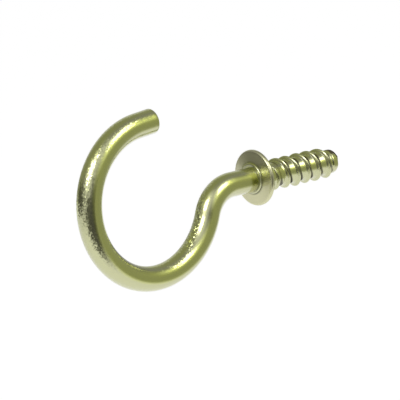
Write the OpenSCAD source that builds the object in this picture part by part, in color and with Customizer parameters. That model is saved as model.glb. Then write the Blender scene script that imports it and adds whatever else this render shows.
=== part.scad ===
// Shouldered cup hook: one length of wire with a collar headed on it, a hook bent at the front
// and a wood-screw thread behind. Millimetres.
//
// The origin is the middle of the collar's flat back, which seats on the wall. +Y points into
// the wall along the screw, +Z is up, and the hook is bent in the plane X = 0.

/* [Wire] */
// Diameter of the wire
wire_d = 3.75; // [3.2:0.05:4.6]

/* [Hook] */
// Straight wire between the collar and the shoulder bend
neck_len = 4; // [2:0.05:12]
// Inside radius of the shoulder bend
shoulder_in_r = 3.5; // [1:0.1:8]
// How far the shoulder bend turns down
shoulder_angle = 70; // [40:1:90]
// Inside diameter of the bowl
bowl_in_d = 19; // [12:0.5:32]
// How far the bowl turns, from the shoulder round to the nose
bowl_angle = 244.5; // [180:0.5:260]
// Straight wire at the end of the bowl
nose_len = 3; // [1:0.1:6]
// Radius of the rounded edge at the nose's end
nose_edge_r = 0.35; // [0.1:0.05:0.8]

/* [Collar] */
// Diameter of the collar
collar_d = 8.5; // [7:0.1:12]
// Thickness of the collar at its rim
rim_t = 0.5; // [0.35:0.01:1.2]
// Radius of the rim's rounded front edge
rim_edge_r = 0.3; // [0.05:0.01:0.3]
// How much the collar's face rises from its rim to its ring
face_rise = 0.3; // [0.1:0.05:0.8]
// How far the ring on the face stands out all round the wire
ring_w = 0.475; // [0.4:0.025:0.8]
// How far the ring stands above the face
ring_h = 0.25; // [0.25:0.05:0.6]
// Radius of the ring's rounded edge
ring_edge_r = 0.25; // [0.05:0.01:0.25]
// How far the collar was headed off the wire's centre, upwards
collar_lift = 0.2; // [0:0.05:0.35]

/* [Screw] */
// Length of the screw behind the collar
screw_len = 16; // [13:0.5:30]
// Plain shank next to the collar
shank_len = 4.2; // [2:0.1:5]
// Length over which the shank narrows to the thread's core
shank_taper_len = 0.3; // [0.2:0.1:1]
// Diameter of the thread's core
core_d = 3.25; // [2.6:0.05:3.7]
// Outside diameter of the thread
thread_d = 4.85; // [4.2:0.05:6]
// Pitch of the thread, right-handed
pitch = 2.1; // [1.8:0.1:3]
// Width of the thread's crest
crest_w = 0.15; // [0.05:0.05:0.3]
// Slope of the flank that faces the collar, from a plane square to the screw
front_flank = 16; // [5:1:35]
// Slope of the flank that faces the end
back_flank = 30; // [15:1:35]
// Depth at which the thread starts, still inside the shank
thread_start = 1.15; // [0.6:0.05:6]
// Plain wire left between the thread's end and the end of the screw
tip_plain = 1.4; // [1:0.1:4]
// Diameter of that plain end
end_d = 3.65; // [3.3:0.05:4]
// Length over which the core widens to the plain end
end_taper_len = 0.4; // [0.2:0.1:1]
// Turns over which the thread rises at its start
lead_turns = 1.2; // [0.25:0.05:2]
// Turns over which it dies out at its end
fade_turns = 0.45; // [0.25:0.05:0.75]
// Where round the screw the thread starts
thread_start_angle = 95; // [0:5:355]
// Length of the chamfer round the end face
tip_chamfer = 0.65; // [0.1:0.05:0.8]
// Diameter of the end face inside that chamfer
tip_d = 2.5; // [2:0.1:3.2]
// How far the sheared facet reaches in over the end face, from the +X side
shear_w = 0.8; // [0.3:0.1:1.5]
// Tilt of the sheared facet, from a plane square to the screw
shear_angle = 41; // [15:1:60]

/* [Hidden] */
$fn = 96;

wire_r = wire_d / 2;
core_r = core_d / 2;
end_r = end_d / 2;
thread_end = screw_len - tip_plain;
shoulder_r = shoulder_in_r + wire_r;
bowl_r = bowl_in_d / 2 + wire_r;
collar_r = collar_d / 2;
ring_r = wire_r + ring_w;
face_h = rim_t + face_rise;
collar_h = face_h + ring_h;
neck_end = collar_h + neck_len;

// The bowl's wire is a thousandth slimmer and runs a little way into the shoulder's, so that
// the two bends merge into one solid at any size.
merge_step = 0.001;
merge_len = 0.05;
bowl_wire_r = wire_r - merge_step;
merge_angle = merge_len / bowl_r * 180 / PI;

// The thread is swept as a ridge of trapezoid section whose root is sunk in the core.
ridge_sunk = 0.3;
ridge_steps = 30; // steps in a turn
ridge_r = core_r - ridge_sunk;
ridge_least = 0.1; // height left at the buried ends
thread_len = thread_end - thread_start;
thread_steps = floor(thread_len / pitch * ridge_steps);
lead_steps = lead_turns * ridge_steps;
fade_steps = fade_turns * ridge_steps;

// Puts a shape drawn round Z on the screw's line, pointing out of the wall or into it
module outwards() { rotate([90, 0, 0]) children(); }
module inwards() { rotate([-90, 0, 0]) children(); }

// Puts a shape drawn in the plane of X and Y in the hook's plane of Y and Z
module hook_plane() { rotate([90, 0, 90]) children(); }

// Half the outline of a round bar of the given radius and height, with a rounded top edge
module half_bar(r, h, edge) {
    square([r, h - edge]);
    square([r - edge, h]);
    translate([r - edge, h - edge]) circle(edge);
}

// Wire bent about the origin, from the X axis anticlockwise
module wire_bend(radius, angle, section_r) {
    rotate_extrude(angle = angle) translate([radius, 0]) circle(section_r);
}

module neck() {
    outwards() cylinder(r = wire_r, h = neck_end);
}

// The straight end of the bowl, with its cut edge rounded
module nose() {
    outwards() rotate_extrude() intersection() {
        half_bar(bowl_wire_r, nose_len, nose_edge_r);
        square([bowl_wire_r, nose_len]);
    }
}

// The bowl, from the nose round to the shoulder, with its centre at the origin
module bowl() {
    wire_bend(bowl_r, bowl_angle + merge_angle, bowl_wire_r);
    translate([bowl_r, 0]) nose();
}

// The shoulder bend turns down from the neck and the bowl turns back up from its end
module hook() {
    hook_plane() translate([-neck_end, -shoulder_r]) rotate([0, 0, 90]) {
        wire_bend(shoulder_r, shoulder_angle, wire_r);
        rotate([0, 0, shoulder_angle]) translate([shoulder_r + bowl_r, 0])
            rotate([0, 0, 180 - bowl_angle]) bowl();
    }
}

// The collar's flat back, rounded rim, coned face and the ring round the wire
module collar() {
    cone_r = collar_r - rim_edge_r;
    translate([0, 0, collar_lift]) outwards() rotate_extrude() intersection() {
        union() {
            half_bar(collar_r, rim_t, rim_edge_r);
            polygon([[0, 0], [cone_r, 0], [cone_r, rim_t], [ring_r, face_h], [0, face_h]]);
            half_bar(ring_r, collar_h, ring_edge_r);
        }
        square([collar_r, collar_h]);
    }
}

// The plain shank, the core of the thread and the plain end with its chamfer
module shank() {
    rotate_extrude() polygon([
        [0, 0],
        [wire_r, 0],
        [wire_r, shank_len],
        [core_r, shank_len + shank_taper_len],
        [core_r, thread_end - end_taper_len],
        [end_r, thread_end],
        [end_r, screw_len - tip_chamfer],
        [tip_d / 2, screw_len],
        [0, screw_len],
    ]);
}

// The metal that was broken away at one side of the end when the wire was sheared off
module sheared_away() {
    translate([end_r - shear_w, 0, screw_len]) rotate([0, shear_angle, 0])
        translate([-wire_d, -wire_d, 0]) cube([2 * wire_d, 2 * wire_d, wire_d]);
}

module screw_blank() {
    inwards() difference() {
        shank();
        sheared_away();
    }
}

// Height of the thread's ridge at a step, which rises and dies out at the ends
function ridge_h(i) =
    let (fade = min(1, i / lead_steps, (thread_steps - i) / fade_steps))
    max(ridge_least, fade * (thread_d / 2 - ridge_r));

// The four corners of the ridge's section at a step: root, crest, crest, root
function ridge_section(i) =
    let (
        turn = thread_start_angle + 360 * i / ridge_steps,
        depth = thread_start + pitch * i / ridge_steps,
        h = ridge_h(i),
        crest = crest_w / 2,
        front = crest + h * tan(front_flank),
        back = crest + h * tan(back_flank)
    )
    [for (p = [[ridge_r, -front], [ridge_r + h, -crest], [ridge_r + h, crest], [ridge_r, back]])
        [p[0] * cos(turn), p[0] * sin(turn), depth + p[1]]];

module thread() {
    corners = 4;
    points = [for (i = [0:thread_steps]) each ridge_section(i)];
    sides = [for (i = [0:thread_steps - 1], k = [0:corners - 1])
        let (
            a = i * corners + k,
            b = i * corners + (k + 1) % corners,
            c = b + corners,
            d = a + corners
        )
        each [[a, b, c], [a, c, d]]];
    last = thread_steps * corners;
    ends = [[0, 2, 1], [0, 3, 2], [last, last + 1, last + 2], [last, last + 2, last + 3]];
    inwards() polyhedron(points, concat(sides, ends));
}

module cup_hook() {
    color("darkkhaki") {
        neck();
        hook();
        collar();
        screw_blank();
        thread();
    }
}

cup_hook();
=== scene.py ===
"""Looks of a shouldered cup hook: its plated wire, headed collar and rolled thread, in a plain studio.

Lengths are in metres and angles in degrees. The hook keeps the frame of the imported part: the origin
is the middle of the collar's flat back, +Y points into the wall along the screw, +Z is up, and the
hook is bent in the plane X = 0.
"""

import logging
import math
from dataclasses import dataclass, field
from enum import Enum

import bmesh
import bpy
from mathutils import Matrix, Vector


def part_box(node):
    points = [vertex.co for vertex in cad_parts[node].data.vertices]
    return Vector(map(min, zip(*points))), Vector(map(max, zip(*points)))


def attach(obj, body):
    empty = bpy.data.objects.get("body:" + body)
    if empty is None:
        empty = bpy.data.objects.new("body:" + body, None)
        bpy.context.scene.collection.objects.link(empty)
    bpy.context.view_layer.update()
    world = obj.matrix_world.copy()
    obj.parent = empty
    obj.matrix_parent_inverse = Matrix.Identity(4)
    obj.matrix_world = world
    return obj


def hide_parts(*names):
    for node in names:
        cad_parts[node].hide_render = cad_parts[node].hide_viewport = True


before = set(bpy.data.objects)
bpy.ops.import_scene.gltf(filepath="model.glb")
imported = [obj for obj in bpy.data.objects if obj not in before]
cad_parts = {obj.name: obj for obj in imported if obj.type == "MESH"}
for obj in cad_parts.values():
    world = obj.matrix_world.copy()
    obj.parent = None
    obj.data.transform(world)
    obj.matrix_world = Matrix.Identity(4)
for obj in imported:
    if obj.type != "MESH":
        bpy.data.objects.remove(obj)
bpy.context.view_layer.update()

MM = 0.001
NODE = "cup_hook"
BODY = "root"
MERGE_DISTANCE = 0.002 * MM
SHARP_ANGLE = 40
AXIS_X = Vector((1, 0, 0))
AXIS_Y = Vector((0, 1, 0))
AXIS_Z = Vector((0, 0, 1))
ROUND_SEGMENTS = 6
CARD_HALF = 0.5
MIDDLE_GREY = (0.5, 0.5, 0.5)

log = logging.getLogger(NODE)

Colour = tuple[float, float, float, float]
Edges = list[bmesh.types.BMEdge]

WHITE: Colour = (1, 1, 1, 1)
BLACK: Colour = (0, 0, 0, 1)


class Hand(Enum):
    """Which way a thread winds."""

    RIGHT = 1
    LEFT = -1


class Grain(Enum):
    """Sizes of the uneven spots in a surface, as cells a metre."""

    FINE = 6500
    MEDIUM = 1800
    WAVE = 900


def smoothstep(value: float) -> float:
    """Ease a share from 0 to 1, level at both ends."""
    share = min(1.0, max(0.0, value))
    return share * share * (3 - 2 * share)


def across(value: float, width: float) -> float:
    """Ease from 0 to 1 over a width that has the value 0 in its middle."""
    return smoothstep(value / width + 0.5)


def in_hook_plane(distance: float, angle: float) -> Vector:
    """Give an offset in the hook's plane.

    Args:
        distance: Length of the offset.
        angle: Direction, from +Y towards +Z.

    Returns:
        The offset.
    """
    turn = math.radians(angle)
    return Vector((0, distance * math.cos(turn), distance * math.sin(turn)))


def towards(azimuth: float, elevation: float) -> Vector:
    """Give the direction from the hook to a place round it.

    Args:
        azimuth: Angle round the hook, 0 in front of the wall and 90 on the +X side.
        elevation: Angle above the horizon.

    Returns:
        The unit vector.
    """
    turn, rise = math.radians(azimuth), math.radians(elevation)
    return Vector((math.sin(turn) * math.cos(rise), -math.cos(turn) * math.cos(rise), math.sin(rise)))


def facing(way: Vector, distance: float, middle: Vector, roll: float = 0.0) -> Matrix:
    """Place something so that its -Z looks at a point.

    Args:
        way: Direction from the point to the thing.
        distance: How far away it is.
        middle: The point.
        roll: Turn about the line of sight.

    Returns:
        The placement.
    """
    turn = way.to_track_quat("Z", "Y").to_matrix().to_4x4()
    return Matrix.Translation(middle + way * distance) @ turn @ Matrix.Rotation(math.radians(roll), 4, "Z")


def in_one(parts: list[bmesh.types.BMesh]) -> bmesh.types.BMesh:
    """Put several meshes into a new one and free them.

    Args:
        parts: The meshes.

    Returns:
        The new mesh.
    """
    whole = bmesh.new()
    for part in parts:
        held = bpy.data.meshes.new("part")
        part.to_mesh(held)
        part.free()
        whole.from_mesh(held)
        bpy.data.meshes.remove(held)
    return whole


def show(name: str, mesh: bmesh.types.BMesh, material: bpy.types.Material) -> bpy.types.Object:
    """Make an object of a finished mesh, at the origin, and free the mesh.

    Args:
        name: Name of the object.
        mesh: Its mesh.
        material: Its material.

    Returns:
        The object.
    """
    data = bpy.data.meshes.new(name)
    mesh.to_mesh(data)
    mesh.free()
    data.materials.append(material)
    made = bpy.data.objects.new(name, data)
    bpy.context.scene.collection.objects.link(made)
    return made


@dataclass(frozen=True)
class Wire:
    """The round wire that the hook is made from."""

    diameter: float = 3.75 * MM
    sides: int = 96

    @property
    def radius(self) -> float:
        """Return half the diameter."""
        return self.diameter / 2


@dataclass
class Stock:
    """A length of wire that grows from its open end.

    Attributes:
        wire: What it is made from.
        mesh: The mesh that it grows in.
        end: Edges round the open end.
    """

    wire: Wire
    mesh: bmesh.types.BMesh = field(default_factory=bmesh.new)
    end: Edges = field(default_factory=list)

    def start(self, place: Matrix) -> None:
        """Close the first end with a flat face.

        Args:
            place: Where the face is, its axis along the matrix's Z.
        """
        made = bmesh.ops.create_circle(
            self.mesh, cap_ends=True, segments=self.wire.sides, radius=self.wire.radius, matrix=place
        )
        self.end = list({edge for vert in made["verts"] for edge in vert.link_edges})

    def run(self, offset: Vector, steps: int) -> None:
        """Add a straight length.

        Args:
            offset: Where it leads from the open end.
            steps: How many equal lengths make it up.
        """
        for _ in range(steps):
            grown = bmesh.ops.extrude_edge_only(self.mesh, edges=self.end)["geom"]
            verts = [item for item in grown if isinstance(item, bmesh.types.BMVert)]
            self.end = [item for item in grown if isinstance(item, bmesh.types.BMEdge)]
            bmesh.ops.translate(self.mesh, vec=offset / steps, verts=verts)

    def bend(self, centre: Vector, angle: float, steps: int) -> None:
        """Add a bend in the hook's plane.

        Args:
            centre: Centre of the bend.
            angle: How far the wire turns, from +Y towards +Z.
            steps: How many lengths make up the bend.
        """
        made = bmesh.ops.spin(
            self.mesh,
            geom=self.end,
            cent=centre,
            axis=AXIS_X,
            angle=math.radians(angle),
            steps=steps,
            use_merge=False,
            use_duplicate=False,
        )
        self.end = [item for item in made["geom_last"] if isinstance(item, bmesh.types.BMEdge)]


@dataclass
class Profile:
    """Outline of a turned part, drawn in the plane Z = 0 beside the screw's axis.

    Attributes:
        points: Its corners, each a distance from the axis and a depth into the wall.
        mesh: The mesh that it is drawn in.
        corners: The vertex at each of its points.
    """

    points: list[tuple[float, float]]
    mesh: bmesh.types.BMesh = field(default_factory=bmesh.new)
    corners: list[bmesh.types.BMVert] = field(default_factory=list)

    def __post_init__(self) -> None:
        """Draw the straight lines through its points."""
        self.corners = [self.mesh.verts.new((radius, depth, 0)) for radius, depth in self.points]
        for start, end in zip(self.corners, self.corners[1:]):
            self.mesh.edges.new((start, end))

    def round_corner(self, index: int, size: float, segments: int = ROUND_SEGMENTS) -> None:
        """Round one of its corners.

        Args:
            index: Which of the points it is.
            size: How far the rounding reaches from the corner.
            segments: How many edges make up the rounding.
        """
        bmesh.ops.bevel(
            self.mesh,
            geom=[self.corners[index]],
            offset=size,
            segments=segments,
            profile=0.5,
            affect="VERTICES",
            material=-1,
        )

    def divide(self, length: float) -> None:
        """Divide its edges so that none is too long.

        Args:
            length: How long an edge may be.
        """
        for edge in self.mesh.edges[:]:
            cuts = math.ceil(edge.calc_length() / length) - 1
            if cuts > 0:
                bmesh.ops.subdivide_edges(self.mesh, edges=[edge], cuts=cuts)

    def spin(self, sides: int, advance: float = 0.0) -> None:
        """Turn it once round the screw's axis.

        Args:
            sides: How many sides the turn has.
            advance: How far it moves along the axis in the turn.
        """
        bmesh.ops.spin(
            self.mesh,
            geom=self.mesh.verts[:] + self.mesh.edges[:],
            cent=(0, 0, 0),
            axis=AXIS_Y,
            dvec=AXIS_Y * advance / sides,
            angle=math.tau,
            steps=sides,
            use_merge=advance == 0,
            use_duplicate=False,
        )


@dataclass
class Hook:
    """The bent wire in front of the collar: nose, bowl, shoulder and neck."""

    wire: Wire = Wire()
    neck_len: float = 4 * MM
    shoulder_in_r: float = 3.5 * MM
    shoulder_angle: float = 70
    bowl_in_d: float = 19 * MM
    bowl_angle: float = 244.5
    nose_len: float = 3 * MM
    nose_edge_r: float = 0.35 * MM
    step_len: float = 0.2 * MM
    nose_step_len: float = 0.8 * MM

    def build(self, collar_h: float) -> bmesh.types.BMesh:
        """Grow the wire from the nose's end to the collar.

        Args:
            collar_h: Height of the collar and its ring over the wall.

        Returns:
            The mesh, open at the collar.
        """
        stock = Stock(self.wire)
        shoulder_r = self.shoulder_in_r + self.wire.radius
        bowl_r = self.bowl_in_d / 2 + self.wire.radius
        shoulder_at = Vector((0, -collar_h - self.neck_len, -shoulder_r))
        joint_angle = 90 + self.shoulder_angle
        bowl_at = shoulder_at + in_hook_plane(shoulder_r + bowl_r, joint_angle)
        nose_angle = joint_angle + 180 - self.bowl_angle
        nose_turn = Matrix.Rotation(math.radians(nose_angle), 4, "X")
        at_bowl = Matrix.Translation(bowl_at) @ nose_turn @ Matrix.Translation(bowl_r * AXIS_Y)
        self.add_nose(stock, at_bowl)
        stock.bend(bowl_at, self.bowl_angle, self.steps(bowl_r, self.bowl_angle))
        stock.bend(shoulder_at, -self.shoulder_angle, self.steps(shoulder_r, self.shoulder_angle))
        stock.run(self.neck_len * AXIS_Y, round(self.neck_len / self.step_len))
        return stock.mesh

    def steps(self, radius: float, angle: float) -> int:
        """Return how many lengths make up a bend."""
        return round(math.radians(angle) * radius / self.step_len)

    def add_nose(self, stock: Stock, at_bowl: Matrix) -> None:
        """Make the cut end with its rounded edge, and the straight nose.

        Args:
            stock: The wire, not yet started.
            at_bowl: Where the nose meets the bowl, its axis along the matrix's Z.
        """
        along = at_bowl.to_3x3() @ AXIS_Z
        stock.start(at_bowl @ Matrix.Translation(-self.nose_len * AXIS_Z))
        cut_edge = stock.end
        stock.run(self.nose_len * along, round(self.nose_len / self.nose_step_len))
        bmesh.ops.bevel(
            stock.mesh,
            geom=cut_edge,
            offset=self.nose_edge_r,
            segments=ROUND_SEGMENTS,
            profile=0.5,
            affect="EDGES",
            material=-1,
        )


@dataclass
class Collar:
    """The headed collar, the ring round the wire on its face, and the plain shank behind it.

    Attributes:
        lift: How far the collar and the ring stand off the wire's centre, upwards.
        corner_w: Width of the painted shade in a corner at the wire, and of the edge of the satin face.
        crease_w: Width of the painted shade in the crease round the ring.
        neck_shade: How much painted shade lies where the neck meets the ring, from 0 to 1.
        ring_shade: How much lies where the ring meets the face.
        back_shade: How much lies where the shank meets the collar's back.
    """

    wire: Wire = Wire()
    diameter: float = 8.5 * MM
    rim_t: float = 0.5 * MM
    rim_edge_r: float = 0.3 * MM
    face_rise: float = 0.3 * MM
    ring_w: float = 0.475 * MM
    ring_h: float = 0.25 * MM
    ring_edge_r: float = 0.25 * MM
    crease_r: float = 0.1 * MM
    back_edge_r: float = 0.06 * MM
    shank_root_r: float = 0.1 * MM
    lift: float = 0.2 * MM
    corner_w: float = 0.4 * MM
    crease_w: float = 0.2 * MM
    # How dark the painted shade in the collar's three corners is.
    neck_shade: float = 0.4
    ring_shade: float = 0.6
    back_shade: float = 0.8
    step_len: float = 0.15 * MM

    @property
    def height(self) -> float:
        """Return the height of the collar and its ring over the wall."""
        return self.face_h + self.ring_h

    @property
    def face_h(self) -> float:
        """Return the height of the face over the wall, where it meets the ring."""
        return self.rim_t + self.face_rise

    @property
    def ring_r(self) -> float:
        """Return the radius of the ring."""
        return self.wire.radius + self.ring_w

    def radius_at(self, vert: bmesh.types.BMVert) -> float:
        """Return how far a point is from the collar's own centre line."""
        return math.hypot(vert.co.x, vert.co.z - self.lift)

    def satin_at(self, vert: bmesh.types.BMVert) -> float:
        """Find how matt a point is, because the die left the collar's face satin.

        Args:
            vert: The point.

        Returns:
            A share from 0 to 1.
        """
        out = smoothstep((self.radius_at(vert) - self.ring_r) / self.corner_w)
        return out * smoothstep(1 - abs(vert.co.y + self.height / 2) / self.height)

    def painted_shade_and_marks_at(self, vert: bmesh.types.BMVert) -> float:
        """Find how much painted shade lies at a point, in the corners at the neck, the ring and the shank.

        Args:
            vert: The point.

        Returns:
            A share from 0 to 1.
        """
        radius = self.radius_at(vert)
        # Painted shade in the three corners, darkest along each corner's line.
        corners = (
            (self.wire.radius, -self.height, self.neck_shade, self.corner_w),
            (self.ring_r, -self.face_h, self.ring_shade, self.crease_w),
            (self.wire.radius, 0, self.back_shade, self.corner_w),
        )
        return max(
            shade_level * smoothstep(1 - math.hypot(radius - corner_r, vert.co.y - depth) / width)
            for corner_r, depth, shade_level, width in corners
        )

    def build(self, shank_len: float) -> bmesh.types.BMesh:
        """Turn the collar with its shank, then lift the collar off the wire's centre.

        Args:
            shank_len: Length of the shank that is made here.

        Returns:
            The mesh, open at the neck and at the shank.
        """
        wire_r = self.wire.radius
        rim_r = self.diameter / 2
        profile = Profile(
            [
                (wire_r, -self.height),
                (self.ring_r, -self.height),
                (self.ring_r, -self.face_h),
                (rim_r, -self.rim_t),
                (rim_r, 0),
                (wire_r, 0),
                (wire_r, shank_len),
            ]
        )
        radii = [self.ring_edge_r, self.crease_r, self.rim_edge_r, self.back_edge_r, self.shank_root_r]
        for index, radius in enumerate(radii, start=1):
            profile.round_corner(index, radius)
        profile.divide(self.step_len)
        profile.spin(self.wire.sides)
        edge = wire_r + MERGE_DISTANCE
        raised = [vert for vert in profile.mesh.verts if math.hypot(vert.co.x, vert.co.z) > edge]
        bmesh.ops.translate(profile.mesh, vec=self.lift * AXIS_Z, verts=raised)
        return profile.mesh


@dataclass
class Thread:
    """The rolled wood-screw thread on its core, with a short taper before and after it.

    Attributes:
        front_flank_angle: Lean of the ridge's side that faces the collar.
        root_slope: Slope of the root, which rises a little towards the next ridge.
        crest_drop: How much lower the crest's front edge is than its back edge.
        start: Depth at which the ridge starts.
        start_angle: Where round the screw it starts, from +X towards -Z.
        lead_turns: How many turns the ridge takes to rise.
        fade_turns: How many turns it takes to die out.
        waver: How uneven the ridge's height is, as a share of it.
        slow_wave: How fast the slow part of that changes, in radians a turn.
        quick_wave: How fast the quick part changes.
        quick_share: How strong the quick part is beside the slow one.
        shade_from: Where the painted shade in the root starts, in pitches behind the ridge's middle.
        shade_to: Where it ends, on the screw's sides.
        shade_above: How much further it reaches on top of the screw.
        shade_below: How much further it reaches underneath.
        flank_edge: Half the width of the painted shade on the front flank, in pitches.
        flank_full: How far up the screw's side that shade is full, 1 being the top.
    """

    wire: Wire = Wire()
    core_d: float = 3.25 * MM
    outer_d: float = 4.85 * MM
    pitch: float = 2.1 * MM
    crest_w: float = 0.15 * MM
    crest_edge_r: float = 0.07 * MM
    front_flank_angle: float = 16
    root_slope: float = 13
    back_flank_angle: float = 30
    root_r: float = 0.12 * MM
    crest_drop: float = 0.14 * MM
    start: float = 1.15 * MM
    start_angle: float = 95
    turns: float = 6.4
    lead_turns: float = 1.2
    fade_turns: float = 0.45
    shank_len: float = 4.2 * MM
    taper_len: float = 0.3 * MM
    end_d: float = 3.65 * MM
    end_taper_len: float = 0.4 * MM
    waver: float = 0.05
    slow_wave: float = 9.1
    quick_wave: float = 23.7
    quick_share: float = 0.6
    # Painted shade in the thread's roots and on the upper front flanks.
    shade_from: float = 0.27
    shade_to: float = 0.46
    shade_above: float = 0.26
    shade_below: float = 0.28
    shade_edge: float = 0.1
    root_shade: float = 0.95
    flank_shade: float = 0.55
    flank_edge: float = 0.06
    flank_full: float = 0.5
    hand: Hand = Hand.RIGHT
    corner_segments: int = 4
    step_len: float = 0.09 * MM

    @property
    def front_w(self) -> float:
        """Return how far in front of its crest the middle of the front flank lies, in pitches."""
        flank = (self.outer_d - self.core_d) / 4 * math.tan(math.radians(self.front_flank_angle))
        return (self.crest_w / 2 + flank) / self.pitch

    @property
    def end(self) -> float:
        """Return the depth at which the ridge has died out."""
        return self.start + self.turns * self.pitch

    def build(self, first: float, last: float) -> bmesh.types.BMesh:
        """Wind the thread into a tube, trim it at both ends and fade its ridge there.

        Args:
            first: Depth at which the tube starts.
            last: Depth at which it ends.

        Returns:
            The mesh, open at both ends.
        """
        middle = self.start - self.pitch * (1 + self.start_angle / 360)
        mesh = self.one_turn(middle)
        turn = mesh.verts[:] + mesh.edges[:] + mesh.faces[:]
        for count in range(1, math.ceil((last - middle) / self.pitch + 0.5)):
            copied = bmesh.ops.duplicate(mesh, geom=turn)["geom"]
            verts = [item for item in copied if isinstance(item, bmesh.types.BMVert)]
            bmesh.ops.translate(mesh, vec=count * self.pitch * AXIS_Y, verts=verts)
        bmesh.ops.remove_doubles(mesh, verts=mesh.verts[:], dist=MERGE_DISTANCE)
        self.trim(mesh, first, True)
        self.trim(mesh, last, False)
        for vert in mesh.verts:
            self.roll(vert)
        return mesh

    def one_turn(self, middle: float) -> bmesh.types.BMesh:
        """Spin the outline of one pitch once round.

        Args:
            middle: Depth of the ridge's middle where the turn starts.

        Returns:
            The mesh of that turn.
        """
        core, crest = self.core_d / 2, self.outer_d / 2
        reach = self.pitch / 2
        half_crest = self.crest_w / 2
        back_foot = half_crest + (crest - core) * math.tan(math.radians(self.back_flank_angle))
        slope = math.tan(math.radians(self.root_slope))
        flank = math.tan(math.radians(self.front_flank_angle))
        # The root slopes up from the ridge's back foot until it meets the next ridge's front flank.
        room = self.pitch - back_foot - half_crest - (crest - core) * flank
        rise = slope * room / (1 - slope * flank)
        front_foot = half_crest + (crest - core - rise) * flank
        between = core + slope * (reach - back_foot)
        profile = Profile(
            [
                (between, middle - reach),
                (core + rise, middle - front_foot),
                (crest - self.crest_drop, middle - half_crest),
                (crest, middle + half_crest),
                (core, middle + back_foot),
                (between, middle + reach),
            ]
        )
        radii = [self.root_r, self.crest_edge_r, self.crest_edge_r, self.root_r]
        for index, radius in enumerate(radii, start=1):
            profile.round_corner(index, radius, self.corner_segments)
        profile.divide(self.step_len)
        profile.spin(self.wire.sides, self.hand.value * self.pitch)
        return profile.mesh

    def trim(self, mesh: bmesh.types.BMesh, depth: float, before: bool) -> None:
        """Cut the tube square across.

        Args:
            mesh: The tube.
            depth: Where it is cut.
            before: Whether the length before the cut goes, or the length after it.
        """
        bmesh.ops.bisect_plane(
            mesh,
            geom=mesh.verts[:] + mesh.edges[:] + mesh.faces[:],
            plane_co=depth * AXIS_Y,
            plane_no=AXIS_Y,
            clear_inner=before,
            clear_outer=not before,
        )

    def travel(self, vert: bmesh.types.BMVert) -> float:
        """Return how many turns along the thread its nearest ridge is at this point."""
        share = math.atan2(-vert.co.z, vert.co.x) / math.tau - self.start_angle / 360
        return share + round((vert.co.y - self.start) / self.pitch - share)

    def painted_shade_and_marks_at(self, vert: bmesh.types.BMVert) -> float:
        """Find how much painted shade lies at a point, in the root and along the upper side's front flank.

        Args:
            vert: The point.

        Returns:
            A share from 0 to 1.
        """
        turn = self.travel(vert)
        behind = (vert.co.y - self.start) / self.pitch - turn
        level = vert.co.z / math.hypot(vert.co.x, vert.co.z)
        spread = self.shade_above if level > 0 else self.shade_below
        into_root = behind % 1
        root = smoothstep((self.shade_to + spread * level * level - into_root) / self.shade_edge)
        root *= across(into_root - self.shade_from, self.shade_edge)
        flank = smoothstep(1 - abs(behind + self.front_w) / self.flank_edge)
        flank *= smoothstep(level / self.flank_full)
        on_ridge = smoothstep(turn / self.lead_turns) * smoothstep(self.turns - turn)
        return max(self.root_shade * root, self.flank_shade * flank) * on_ridge

    def roll(self, vert: bmesh.types.BMVert) -> None:
        """Move a point of the tube to its height over the core, fading the ridge at its ends.

        Args:
            vert: The point.
        """
        core = self.core_d / 2
        turn = self.travel(vert)
        fade = smoothstep(min(turn / self.lead_turns, (self.turns - turn) / self.fade_turns))
        slow, quick = math.sin(self.slow_wave * turn), math.sin(self.quick_wave * turn + 1)
        uneven = 1 + self.waver * (slow + self.quick_share * quick)
        to_shank = smoothstep((self.shank_len + self.taper_len - vert.co.y) / self.taper_len)
        to_end = smoothstep(1 + (vert.co.y - self.end) / self.end_taper_len)
        plain = core + (self.wire.radius - core) * to_shank + (self.end_d / 2 - core) * to_end
        radius = math.hypot(vert.co.x, vert.co.z)
        ridge = core + (radius - core) * fade * uneven
        growth = max(plain, ridge) / radius
        vert.co.x *= growth
        vert.co.z *= growth


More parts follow.
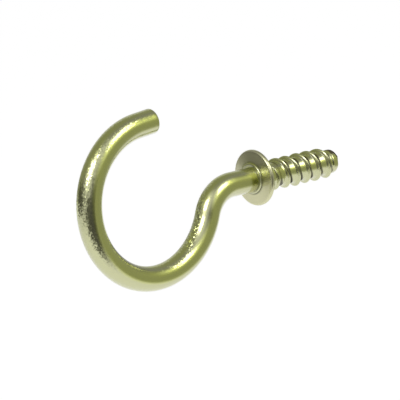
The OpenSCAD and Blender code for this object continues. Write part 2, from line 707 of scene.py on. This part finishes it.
@dataclass
class Tip:
    """The plain end of the screw, with a chamfer and a facet where the wire was sheared off.

    Attributes:
        shear_w: How far in from the wire's side the facet meets the end's face.
        shear_angle: Lean of the facet from the end's face.
        mark_at: A point on the edge of the dark brown mark at the end's corner.
        mark_way: The way from that edge into the mark.
        mark_from: How far above the screw's axis the mark starts.
        mark_edge: How wide the edges of the mark and of the streak are.
        streak_at: Where the darker streak on top starts, in depth and in height.
        streak: How dark the streak is, from 0 to 1.
    """

    wire: Wire = Wire()
    screw_len: float = 16 * MM
    chamfer_len: float = 0.65 * MM
    diameter: float = 2.5 * MM
    chamfer_edge_r: float = 0.2 * MM
    end_edge_r: float = 0.1 * MM
    shear_w: float = 0.8 * MM
    shear_angle: float = 41
    mark_at: Vector = field(default_factory=lambda: Vector((1.58, 15.1, 0.9)) * MM)
    mark_way: Vector = field(default_factory=lambda: Vector((0.1, 0.85, 0.4)))
    mark_from: float = 0.2 * MM
    mark_edge: float = 0.2 * MM
    streak_at: Vector = field(default_factory=lambda: Vector((0, 14.4, 1.2)) * MM)
    streak: float = 0.94
    step_len: float = 0.12 * MM

    def painted_shade_and_marks_at(self, vert: bmesh.types.BMVert) -> float:
        """Find how much dark brown lies at a point: a mark at the end's corner and a streak along the top.

        Args:
            vert: The point.

        Returns:
            A share from 0 to 1.
        """
        beyond = vert.co - self.mark_at
        mark = smoothstep(beyond.dot(self.mark_way) / self.mark_edge)
        mark *= smoothstep((vert.co.z - self.mark_from) / self.mark_edge)
        past = vert.co - self.streak_at
        behind, above = smoothstep(past.y / self.mark_edge), smoothstep(past.z / self.mark_edge)
        return max(mark, self.streak * behind * above)

    def build(self, end_d: float, first: float) -> bmesh.types.BMesh:
        """Turn the end, close its face and shear one side off.

        Args:
            end_d: Diameter of the plain end.
            first: Depth at which it starts.

        Returns:
            The mesh, open at the thread.
        """
        profile = Profile(
            [
                (end_d / 2, first),
                (end_d / 2, self.screw_len - self.chamfer_len),
                (self.diameter / 2, self.screw_len),
                (self.end_edge_r, self.screw_len),
            ]
        )
        profile.round_corner(1, self.chamfer_edge_r)
        profile.round_corner(2, self.end_edge_r)
        profile.divide(self.step_len)
        profile.spin(self.wire.sides)
        nearly_last = self.screw_len - MERGE_DISTANCE
        hole = [e for e in profile.mesh.edges if e.is_boundary and e.verts[0].co.y > nearly_last]
        bmesh.ops.holes_fill(profile.mesh, edges=hole, sides=0)
        self.shear(profile.mesh, end_d / 2)
        return profile.mesh

    def shear(self, mesh: bmesh.types.BMesh, end_r: float) -> None:
        """Cut the facet off the end and close it with a flat face.

        Args:
            mesh: The end, closed at its face.
            end_r: Radius of the plain end.
        """
        tilt = math.radians(self.shear_angle)
        cut = bmesh.ops.bisect_plane(
            mesh,
            geom=mesh.verts[:] + mesh.edges[:] + mesh.faces[:],
            plane_co=self.screw_len * AXIS_Y + (end_r - self.shear_w) * AXIS_X,
            plane_no=AXIS_X * math.sin(tilt) + AXIS_Y * math.cos(tilt),
            clear_outer=True,
        )["geom_cut"]
        rim = [item for item in cut if isinstance(item, bmesh.types.BMEdge)]
        bmesh.ops.holes_fill(mesh, edges=rim, sides=0)


@dataclass
class Shader:
    """A material's nodes, with short ways to add to them."""

    material: bpy.types.Material

    @property
    def surface(self) -> bpy.types.ShaderNodeBsdfPrincipled:
        """Return the node that the whole finish ends in."""
        return self.material.node_tree.nodes["Principled BSDF"]

    def add(self, kind: str, **values: object) -> bpy.types.ShaderNode:
        """Add a node.

        Args:
            kind: Its type.
            values: Its inputs by name, with _ for each space: a socket is linked, and a value is set.

        Returns:
            The node.
        """
        node = self.material.node_tree.nodes.new(kind)
        for name, value in values.items():
            self.give(node, name.replace("_", " "), value)
        return node

    def give(self, node: bpy.types.ShaderNode, name: str | int, value: object) -> None:
        """Link or set one input of a node.

        Args:
            node: The node.
            name: The input's name or number.
            value: A socket to link, or a value to set.
        """
        if isinstance(value, bpy.types.NodeSocket):
            self.material.node_tree.links.new(value, node.inputs[name])
        else:
            node.inputs[name].default_value = value

    def place(self) -> bpy.types.NodeSocket:
        """Return the place in the piece's own coordinates."""
        return self.add("ShaderNodeTexCoord").outputs["Object"]

    def noise(self, grain: Grain, detail: float) -> bpy.types.NodeSocket:
        """Add an uneven pattern in the piece's own coordinates.

        Args:
            grain: How fine it is.
            detail: How many finer layers it has.

        Returns:
            The pattern, from 0 to 1.
        """
        place = self.place()
        return self.add("ShaderNodeTexNoise", Vector=place, Scale=grain.value, Detail=detail).outputs["Fac"]

    def stored(self, name: str) -> bpy.types.NodeSocket:
        """Read a share that is stored at each point of the mesh.

        Args:
            name: Name of the stored layer.

        Returns:
            The share, from 0 to 1.
        """
        node = self.add("ShaderNodeAttribute")
        node.attribute_name = name
        return node.outputs["Fac"]

    def between(
        self, share: bpy.types.NodeSocket, low: object, high: float, start: float = 0, end: float = 1
    ) -> bpy.types.NodeSocket:
        """Go evenly from one value to another, and no further.

        Args:
            share: What decides how far to go.
            low: The value where the share is at its start, as a number or a socket.
            high: The value where the share is at its end.
            start: Start of the share's range.
            end: End of the share's range.

        Returns:
            The value there.
        """
        node = self.add(
            "ShaderNodeMapRange", Value=share, From_Min=start, From_Max=end, To_Min=low, To_Max=high
        )
        return node.outputs["Result"]

    def mixed(self, share: object, first: object, second: object, way: str = "MIX") -> bpy.types.NodeSocket:
        """Mix two colours.

        Args:
            share: How much of the second there is, as a number or a socket.
            first: The first, as a colour or a socket.
            second: The second, as a colour or a socket.
            way: How the second is laid over the first.

        Returns:
            The mixed colour.
        """
        node = self.add("ShaderNodeMix", Factor=share)
        node.data_type = "RGBA"
        node.blend_type = way
        self.give(node, "A", first)
        self.give(node, "B", second)
        return node.outputs["Result"]

    def vector(self, operation: str, *values: object) -> bpy.types.NodeSocket:
        """Work with directions.

        Args:
            operation: What is done.
            values: The directions, each as a vector or a socket.

        Returns:
            The new direction.
        """
        node = self.add("ShaderNodeVectorMath")
        node.operation = operation
        for index, value in enumerate(values):
            self.give(node, index, value)
        return node.outputs["Vector"]

    def either(self, first: bpy.types.NodeSocket, second: bpy.types.NodeSocket) -> bpy.types.NodeSocket:
        """Join two switches.

        Args:
            first: One switch, 0 or 1.
            second: The other.

        Returns:
            A switch that is 1 where one of them is.
        """
        node = self.add("ShaderNodeMath")
        node.operation = "MAXIMUM"
        self.give(node, 0, first)
        self.give(node, 1, second)
        return node.outputs[0]


def new_shader(name: str) -> Shader:
    """Start a material.

    Args:
        name: Name of the material.

    Returns:
        Its shader, which is still plain.
    """
    made = bpy.data.materials.new(name)
    made.use_nodes = True
    return Shader(made)


@dataclass(frozen=True)
class ReflectionTintWay:
    """A direction whose facing surfaces take the deep olive tint: a painted reflection tint.

    Attributes:
        way: The direction that such a surface faces.
        pale_up_to: How squarely a surface may face it and keep only the pale tint, 1 being square.
        deep_from: How squarely a surface faces it where the tint is deepest.
    """

    way: Vector
    pale_up_to: float
    deep_from: float

    def share(self, normal: Vector) -> float:
        """Return how deep the painted reflection tint is on a surface that faces this way, from 0 to 1."""
        squarely = normal.dot(self.way.normalized())
        return smoothstep((squarely - self.pale_up_to) / (self.deep_from - self.pale_up_to))


@dataclass(frozen=True)
class Stretch:
    """A place where bending stretched the wire's skin and made its plating grainy.

    Attributes:
        at: The middle of the place.
        strength: How grainy it is there, from 0 to 1.
        reach: How far from the middle the grain has died out.
        fade_w: Over how long a way it dies out.
    """

    at: Vector
    strength: float
    reach: float = 9 * MM
    fade_w: float = 6 * MM

    def grain(self, place: Vector) -> float:
        """Return how grainy the plating is at a place."""
        return self.strength * smoothstep((self.reach - (place - self.at).length) / self.fade_w)


@dataclass(frozen=True)
class BrassPlate:
    """Greenish brass plating over rolled steel wire, bright but not quite smooth.

    It is a sharp clear layer over rougher metal. Its colour is a painted reflection tint: pale, and a
    deeper olive where a surface faces either of two set directions. It is smooth on the hook's +X side.
    Elsewhere it is a grain of small tilted crystals, strongest where bending stretched the wire. The
    collar's face is satin. Matt dark brown is painted shade in the corners and along the thread's roots and
    upper front flanks, and marks the screw's end.

    Attributes:
        smooth_r: Roughness of the smooth metal, and so on for each name in _r.
        satin_coat: How much of the clear layer the satin face has.
        facet_tilt: How steeply the crystals are tilted.
        plain_grain: How grainy the wire is where it wasn't stretched.
        grain_end: How far to the +X side the grain reaches on the bowl.
        grain_end_at_neck: How far it reaches on the shoulder and the neck.
        grain_edge: Width of the grain's edge.
        neck_from: Depth at which it starts to go from the one to the other, and neck_at where it ends.
        collar_gap: How far from the wall the grain starts, and over how long a way it grows.
        outside_w: Over how much of a turn it dies out towards the side that faces the wall.
        patch_low: Strength of the grain's weak patches, and patch_high its strong ones: 0.5 is unchanged.
        noise_low: Level of the noise that makes a weak patch, and noise_high a strong one.
    """

    slot: str = "brass_plate"
    # Pale and deep olive tints of the same metal, laid by facing direction: a painted reflection tint.
    pale_tint: Colour = (0.41, 0.42, 0.18, 1)
    deep_tint: Colour = (0.46, 0.5, 0.04, 1)
    satin_tone: Colour = (0.53, 0.52, 0.29, 1)
    # Matt dark brown for the painted shade in corners and roots, and for the tip's dark marks.
    painted_shade_and_marks: Colour = (0.03, 0.018, 0.004, 1)
    smooth_r: float = 0.27
    grainy_r: float = 0.2
    satin_r: float = 0.36
    painted_shade_and_marks_r: float = 0.8
    coat_r: float = 0.13
    coat_ior: float = 2.2
    satin_coat: float = 0.6
    # Surfaces facing these directions take the deep tint: a painted reflection tint.
    tint_ways: tuple[ReflectionTintWay, ...] = (
        ReflectionTintWay(Vector((0.95, 0.1, 0.2)), pale_up_to=0.78, deep_from=0.97),
        ReflectionTintWay(Vector((-0.6, -0.1, 0.8)), pale_up_to=0.1, deep_from=0.55),
    )
    stretched: tuple[Stretch, ...] = (
        Stretch(Vector((-0.5, -33, -1.5)) * MM, strength=0.4),
        Stretch(Vector((-1, -11.5, -4.5)) * MM, strength=1),
    )
    facet_tilt: float = 0.7
    plain_grain: float = 0.25
    grain_end: float = 1.65 * MM
    grain_end_at_neck: float = 0.35 * MM
    grain_edge: float = 0.5 * MM
    neck_from: float = -17 * MM
    neck_at: float = -10.5 * MM
    collar_gap: float = 1.5 * MM
    outside_w: float = 0.4
    patch_detail: float = 3
    patch_low: float = 0.4
    patch_high: float = 0.6
    noise_low: float = 0.3
    noise_high: float = 0.7
    wave_h: float = 0.006 * MM
    wave_detail: float = 1
    # The layer named plating holds the painted reflection tint's share.
    reflection_tint_name: str = "plating"
    grain_name: str = "grain"
    satin_name: str = "satin"
    painted_shade_and_marks_name: str = "painted_shade_and_marks"

    def material(self) -> bpy.types.Material:
        """Make the plating, patterned in the hook's own coordinates.

        Returns:
            The material.
        """
        shader = new_shader(self.slot)
        surface = shader.surface
        surface.inputs["Coat Roughness"].default_value = self.coat_r
        surface.inputs["Coat IOR"].default_value = self.coat_ior
        satin = shader.stored(self.satin_name)
        painted_shade_and_marks = shader.stored(self.painted_shade_and_marks_name)
        grain = self.grain_here(shader)
        # Painted reflection tint: the pale and deep tints mixed by the stored facing share.
        tinted = shader.mixed(shader.stored(self.reflection_tint_name), self.pale_tint, self.deep_tint)
        before_dark_brown = shader.mixed(satin, tinted, self.satin_tone)
        on_wire = shader.between(grain, self.smooth_r, self.grainy_r)
        on_metal = shader.between(satin, on_wire, self.satin_r)
        coat = shader.between(satin, 1, self.satin_coat)
        # Where the stored share is high the metal gives way to matt dark brown: painted shade at the collar
        # and the thread, and the tip's dark marks.
        shader.give(surface, "Base Color", shader.mixed(painted_shade_and_marks, before_dark_brown, self.painted_shade_and_marks))
        shader.give(surface, "Roughness", shader.between(painted_shade_and_marks, on_metal, self.painted_shade_and_marks_r))
        shader.give(surface, "Coat Weight", shader.between(painted_shade_and_marks, coat, 0))
        shader.give(surface, "Metallic", shader.between(painted_shade_and_marks, 1, 0))
        waves = shader.add(
            "ShaderNodeBump",
            Distance=self.wave_h,
            Height=shader.noise(Grain.WAVE, self.wave_detail),
            Normal=self.facets(shader, grain),
        )
        shader.give(surface, "Normal", waves.outputs["Normal"])
        shader.give(surface, "Coat Normal", waves.outputs["Normal"])
        return shader.material

    def reflection_tint_at(self, vert: bmesh.types.BMVert) -> float:
        """Return how deep the painted reflection tint is at a point, from 0 to 1."""
        return max(anode.share(vert.normal) for anode in self.tint_ways)

    def grain_at(self, vert: bmesh.types.BMVert) -> float:
        """Find how grainy the plating is at a point of the hook, the collar and the screw being smooth.

        Args:
            vert: The point.

        Returns:
            A share from 0 to 1.
        """
        place = vert.co
        to_neck = smoothstep((place.y - self.neck_from) / (self.neck_at - self.neck_from))
        end = self.grain_end + (self.grain_end_at_neck - self.grain_end) * to_neck
        on_side = across(end - place.x, self.grain_edge)
        on_hook = smoothstep((-self.collar_gap - place.y) / self.collar_gap)
        outside = across(-vert.normal.y, self.outside_w)
        grain = max(spot.grain(place) for spot in self.stretched)
        return on_side * on_hook * outside * max(self.plain_grain, grain)

    def grain_here(self, shader: Shader) -> bpy.types.NodeSocket:
        """Break the stored grain up into patches.

        Args:
            shader: The material.

        Returns:
            How grainy the plating is, from 0 to 1.
        """
        noise = shader.noise(Grain.MEDIUM, self.patch_detail)
        patches = shader.between(noise, self.patch_low, self.patch_high, self.noise_low, self.noise_high)
        return shader.mixed(1, shader.stored(self.grain_name), patches, "OVERLAY")

    def facets(self, shader: Shader, grain: bpy.types.NodeSocket) -> bpy.types.NodeSocket:
        """Tilt each of the plating's small crystals its own way.

        Args:
            shader: The material.
            grain: How grainy the plating is.

        Returns:
            The direction that the surface faces.
        """
        cells = shader.add("ShaderNodeTexVoronoi", Vector=shader.place(), Scale=Grain.FINE.value)
        tilt = shader.vector("SUBTRACT", cells.outputs["Color"], MIDDLE_GREY)
        scaled = shader.add("ShaderNodeVectorMath")
        scaled.operation = "SCALE"
        shader.give(scaled, "Vector", tilt)
        shader.give(scaled, "Scale", shader.between(grain, 0, self.facet_tilt))
        normal = shader.add("ShaderNodeNewGeometry").outputs["Normal"]
        return shader.vector("NORMALIZE", shader.vector("ADD", scaled.outputs["Vector"], normal))


@dataclass
class CupHook:
    """The whole hook, which is one piece of metal and so one mesh.

    Attributes:
        seam: Length of the gap that is bridged at each end of the thread.
    """

    seam: float = 0.05 * MM
    hook: Hook = field(default_factory=Hook)
    collar: Collar = field(default_factory=Collar)
    thread: Thread = field(default_factory=Thread)
    tip: Tip = field(default_factory=Tip)
    finish: BrassPlate = field(default_factory=BrassPlate)

    def build(self) -> bpy.types.Object:
        """Make the hook and put it in place of the plain part.

        Returns:
            The finished piece.
        """
        first = self.thread.start - self.seam
        last = self.thread.end + self.seam
        mesh = in_one(
            [
                self.hook.build(self.collar.height),
                self.collar.build(first - self.seam),
                self.thread.build(first, last),
                self.tip.build(self.thread.end_d, last + self.seam),
            ]
        )
        bmesh.ops.remove_doubles(mesh, verts=mesh.verts[:], dist=MERGE_DISTANCE)
        self.weld(mesh, first - self.seam, first)
        self.weld(mesh, last, last + self.seam)
        bmesh.ops.recalc_face_normals(mesh, faces=mesh.faces[:])
        mesh.normal_update()
        self.store(mesh)
        for face in mesh.faces:
            face.smooth = True
        for edge in mesh.edges:
            edge.smooth = edge.calc_face_angle(0) < math.radians(SHARP_ANGLE)
        open_edges = sum(not edge.is_manifold for edge in mesh.edges)
        piece = show("plated_cup_hook", mesh, self.finish.material())
        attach(piece, BODY)
        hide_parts(NODE)
        log.info("%s: %d faces, %d open edges", piece.name, len(piece.data.polygons), open_edges)
        return piece

    def weld(self, mesh: bmesh.types.BMesh, first: float, last: float) -> None:
        """Bridge the two open loops at the ends of a gap.

        Args:
            mesh: The mesh.
            first: Depth at which the gap starts.
            last: Depth at which it ends.
        """
        low, high = first - MERGE_DISTANCE, last + MERGE_DISTANCE
        loops = [
            edge
            for edge in mesh.edges
            if edge.is_boundary and all(low < vert.co.y < high for vert in edge.verts)
        ]
        bmesh.ops.bridge_loops(mesh, edges=loops)

    def store(self, mesh: bmesh.types.BMesh) -> None:
        """Store what the finish goes by at each point.

        Args:
            mesh: The mesh, with its normals outwards.
        """
        layers = {
            self.finish.reflection_tint_name: self.finish.reflection_tint_at,
            self.finish.grain_name: self.finish.grain_at,
            self.finish.satin_name: self.collar.satin_at,
            self.finish.painted_shade_and_marks_name: self.painted_shade_and_marks_at,
        }
        for name, share_at in layers.items():
            layer = mesh.verts.layers.float.new(name)
            for vert in mesh.verts:
                vert[layer] = share_at(vert)

    def painted_shade_and_marks_at(self, vert: bmesh.types.BMVert) -> float:
        """Return how much dark brown lies at a point, from 0 to 1: painted shade at the collar and the
        thread, and the tip's marks.
        """
        return max(part.painted_shade_and_marks_at(vert) for part in (self.collar, self.thread, self.tip))


@dataclass(frozen=True)
class PaleSheet:
    """Matt pale paper, which looks white and still shows a shadow.

    Attributes:
        colour: Colour of the paper.
        glow: How brightly it shines for what sees it straight, mirrored or through glass, 1 being white.
    """

    colour: Colour = (0.85, 0.85, 0.85, 1)
    glow: float = 0.7

    def material(self) -> bpy.types.Material:
        """Make the paper.

        Returns:
            The material.
        """
        shader = new_shader("pale_sheet")
        surface = shader.surface
        surface.inputs["Base Color"].default_value = self.colour
        surface.inputs["Roughness"].default_value = 1
        surface.inputs["Specular IOR Level"].default_value = 0
        surface.inputs["Emission Color"].default_value = WHITE
        seen = shader.add("ShaderNodeLightPath").outputs
        straight = shader.either(seen["Is Camera Ray"], seen["Is Glossy Ray"])
        anyhow = shader.either(straight, seen["Is Transmission Ray"])
        shader.give(surface, "Emission Strength", shader.between(anyhow, 0, self.glow))
        return shader.material


@dataclass(frozen=True)
class Lamp:
    """A soft box that faces the hook, its level being the brightness of its front, where 1 is white."""

    name: str
    azimuth: float
    elevation: float
    width: float
    height: float
    level: float
    distance: float = 0.6

    def build(self, middle: Vector) -> None:
        """Hang the lamp.

        Args:
            middle: The hook's middle.
        """
        data = bpy.data.lights.new(self.name, "AREA")
        data.shape = "RECTANGLE"
        data.size, data.size_y = self.width, self.height
        data.energy = self.level * math.pi * self.width * self.height
        lamp = bpy.data.objects.new(self.name, data)
        lamp.matrix_world = facing(towards(self.azimuth, self.elevation), self.distance, middle)
        bpy.context.scene.collection.objects.link(lamp)


class Tone(Enum):
    """The plain greys that a card comes in."""

    DARK = 0.1
    GREY = 0.42
    PALE = 0.65
    WHITE = 0.9


@dataclass(frozen=True)
class Card:
    """A round card with a soft edge beside the hook, which only bright metal mirrors."""

    name: str
    azimuth: float
    elevation: float
    width: float
    height: float
    tone: Tone
    distance: float = 0.3
    softness: float = 0.5

    def build(self, middle: Vector) -> None:
        """Stand the card so that it faces the hook.

        Args:
            middle: The hook's middle.
        """
        mesh = bmesh.new()
        bmesh.ops.create_grid(mesh, x_segments=1, y_segments=1, size=CARD_HALF)
        card = show(self.name, mesh, self.material())
        place = facing(towards(self.azimuth, self.elevation), self.distance, middle)
        card.matrix_world = place @ Matrix.Diagonal((self.width, self.height, 1, 1))
        card.visible_camera = False
        card.visible_diffuse = False
        card.visible_shadow = False

    def material(self) -> bpy.types.Material:
        """Make its plain tone, which fades out towards its edge.

        Returns:
            The material.
        """
        shader = new_shader(self.name)
        surface = shader.surface
        surface.inputs["Base Color"].default_value = BLACK
        surface.inputs["Specular IOR Level"].default_value = 0
        surface.inputs["Emission Color"].default_value = WHITE
        surface.inputs["Emission Strength"].default_value = self.tone.value
        out = shader.add("ShaderNodeVectorMath")
        out.operation = "LENGTH"
        shader.give(out, "Vector", shader.place())
        fade = shader.add(
            "ShaderNodeMapRange",
            Value=out.outputs["Value"],
            From_Min=CARD_HALF * (1 - self.softness),
            From_Max=CARD_HALF,
            To_Min=1,
            To_Max=0,
        )
        fade.interpolation_type = "SMOOTHSTEP"
        shader.give(surface, "Alpha", fade.outputs["Result"])
        return shader.material


@dataclass
class Studio:
    """Plain floor, two soft boxes with a white sheet behind each, and grey cards that the metal mirrors."""

    floor_z: float = -0.25
    floor_size: float = 8
    surroundings: float = 0.35
    lamps: tuple[Lamp, ...] = (
        Lamp("key_box", azimuth=20, elevation=38, width=0.26, height=0.24, level=6),
        Lamp("side_box", azimuth=106, elevation=41, width=0.24, height=0.27, level=4.2),
    )
    cards: tuple[Card, ...] = (
        Card("front_flag", azimuth=58, elevation=-16, width=0.78, height=0.38, tone=Tone.DARK),
        Card("left_flag", azimuth=-30, elevation=7, width=0.65, height=0.18, tone=Tone.DARK),
        Card("right_card", azimuth=140, elevation=-6, width=0.85, height=0.42, tone=Tone.GREY),
        Card("backdrop", azimuth=-120, elevation=15, width=0.4, height=0.4, tone=Tone.PALE),
        Card("key_sheet", azimuth=25, elevation=36, width=1.3, height=1.1, tone=Tone.WHITE, distance=0.65),
        Card("side_sheet", azimuth=105, elevation=38, width=1, height=0.9, tone=Tone.WHITE, distance=0.65),
    )

    def build(self, middle: Vector) -> None:
        """Make the floor, the surroundings, the lamps and the cards.

        Args:
            middle: The hook's middle.
        """
        mesh = bmesh.new()
        place = Matrix.Translation(self.floor_z * AXIS_Z)
        bmesh.ops.create_grid(mesh, x_segments=1, y_segments=1, size=self.floor_size / 2, matrix=place)
        show("floor", mesh, PaleSheet().material())
        world = bpy.data.worlds.new("surroundings")
        world.use_nodes = True
        world.node_tree.nodes["Background"].inputs["Color"].default_value = WHITE
        world.node_tree.nodes["Background"].inputs["Strength"].default_value = self.surroundings
        bpy.context.scene.world = world
        for light in self.lamps:
            light.build(middle)
        for card in self.cards:
            card.build(middle)


@dataclass
class Camera:
    """The camera, with a long lens, aimed beside the hook's middle."""

    azimuth: float = 49.91
    elevation: float = 9.39
    roll: float = -5.6
    distance: float = 478.8 * MM
    aside: Vector = field(default_factory=lambda: Vector((0, -2.27, -1.64)) * MM)
    lens: float = 291.7
    sensor: float = 36

    def build(self, middle: Vector) -> None:
        """Make the camera and use it.

        Args:
            middle: The hook's middle.
        """
        data = bpy.data.cameras.new("camera")
        data.lens = self.lens
        data.sensor_width = self.sensor
        data.clip_start = self.distance / 10
        camera = bpy.data.objects.new("camera", data)
        way = towards(self.azimuth, self.elevation)
        camera.matrix_world = facing(way, self.distance, middle + self.aside, self.roll)
        bpy.context.scene.collection.objects.link(camera)
        bpy.context.scene.camera = camera


def main() -> None:
    """Build the hook, its camera and its studio."""
    logging.basicConfig(level=logging.INFO, format="%(message)s")
    low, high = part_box(NODE)
    middle = (low + high) / 2
    CupHook().build()
    Camera().build(middle)
    Studio().build(middle)
    bpy.context.scene.view_settings.view_transform = "Standard"


if __name__ == "__main__":
    main()
